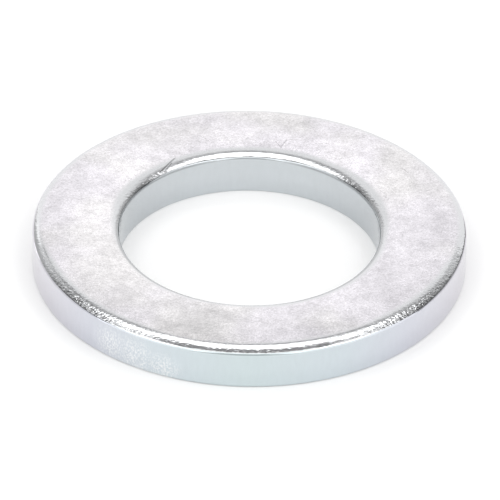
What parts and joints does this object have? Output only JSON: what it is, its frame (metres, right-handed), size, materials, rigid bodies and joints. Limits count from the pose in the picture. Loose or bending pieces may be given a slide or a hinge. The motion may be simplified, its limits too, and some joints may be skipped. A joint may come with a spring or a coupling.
{
  "type": "flat washer",
  "caption": "Flat washer: a zinc-plated steel ring with a plain bore, flat bearing faces and soft die-rolled top edges.",
  "frame": {"origin": "centre of the bottom bearing face, on the bore axis", "axes": "+Z along the bore axis, from the sharp-edged bottom face to the die-rolled top face; X and Y are equivalent"},
  "size_m": [0.03, 0.03, 0.003],
  "materials": {
    "zinc_plated_steel": "bright zinc electroplate with a clear to pale blue passivate, satin from barrel tumbling"
  },
  "bodies": {
    "root": {"washer": "zinc_plated_steel"}
  },
  "joints": []
}
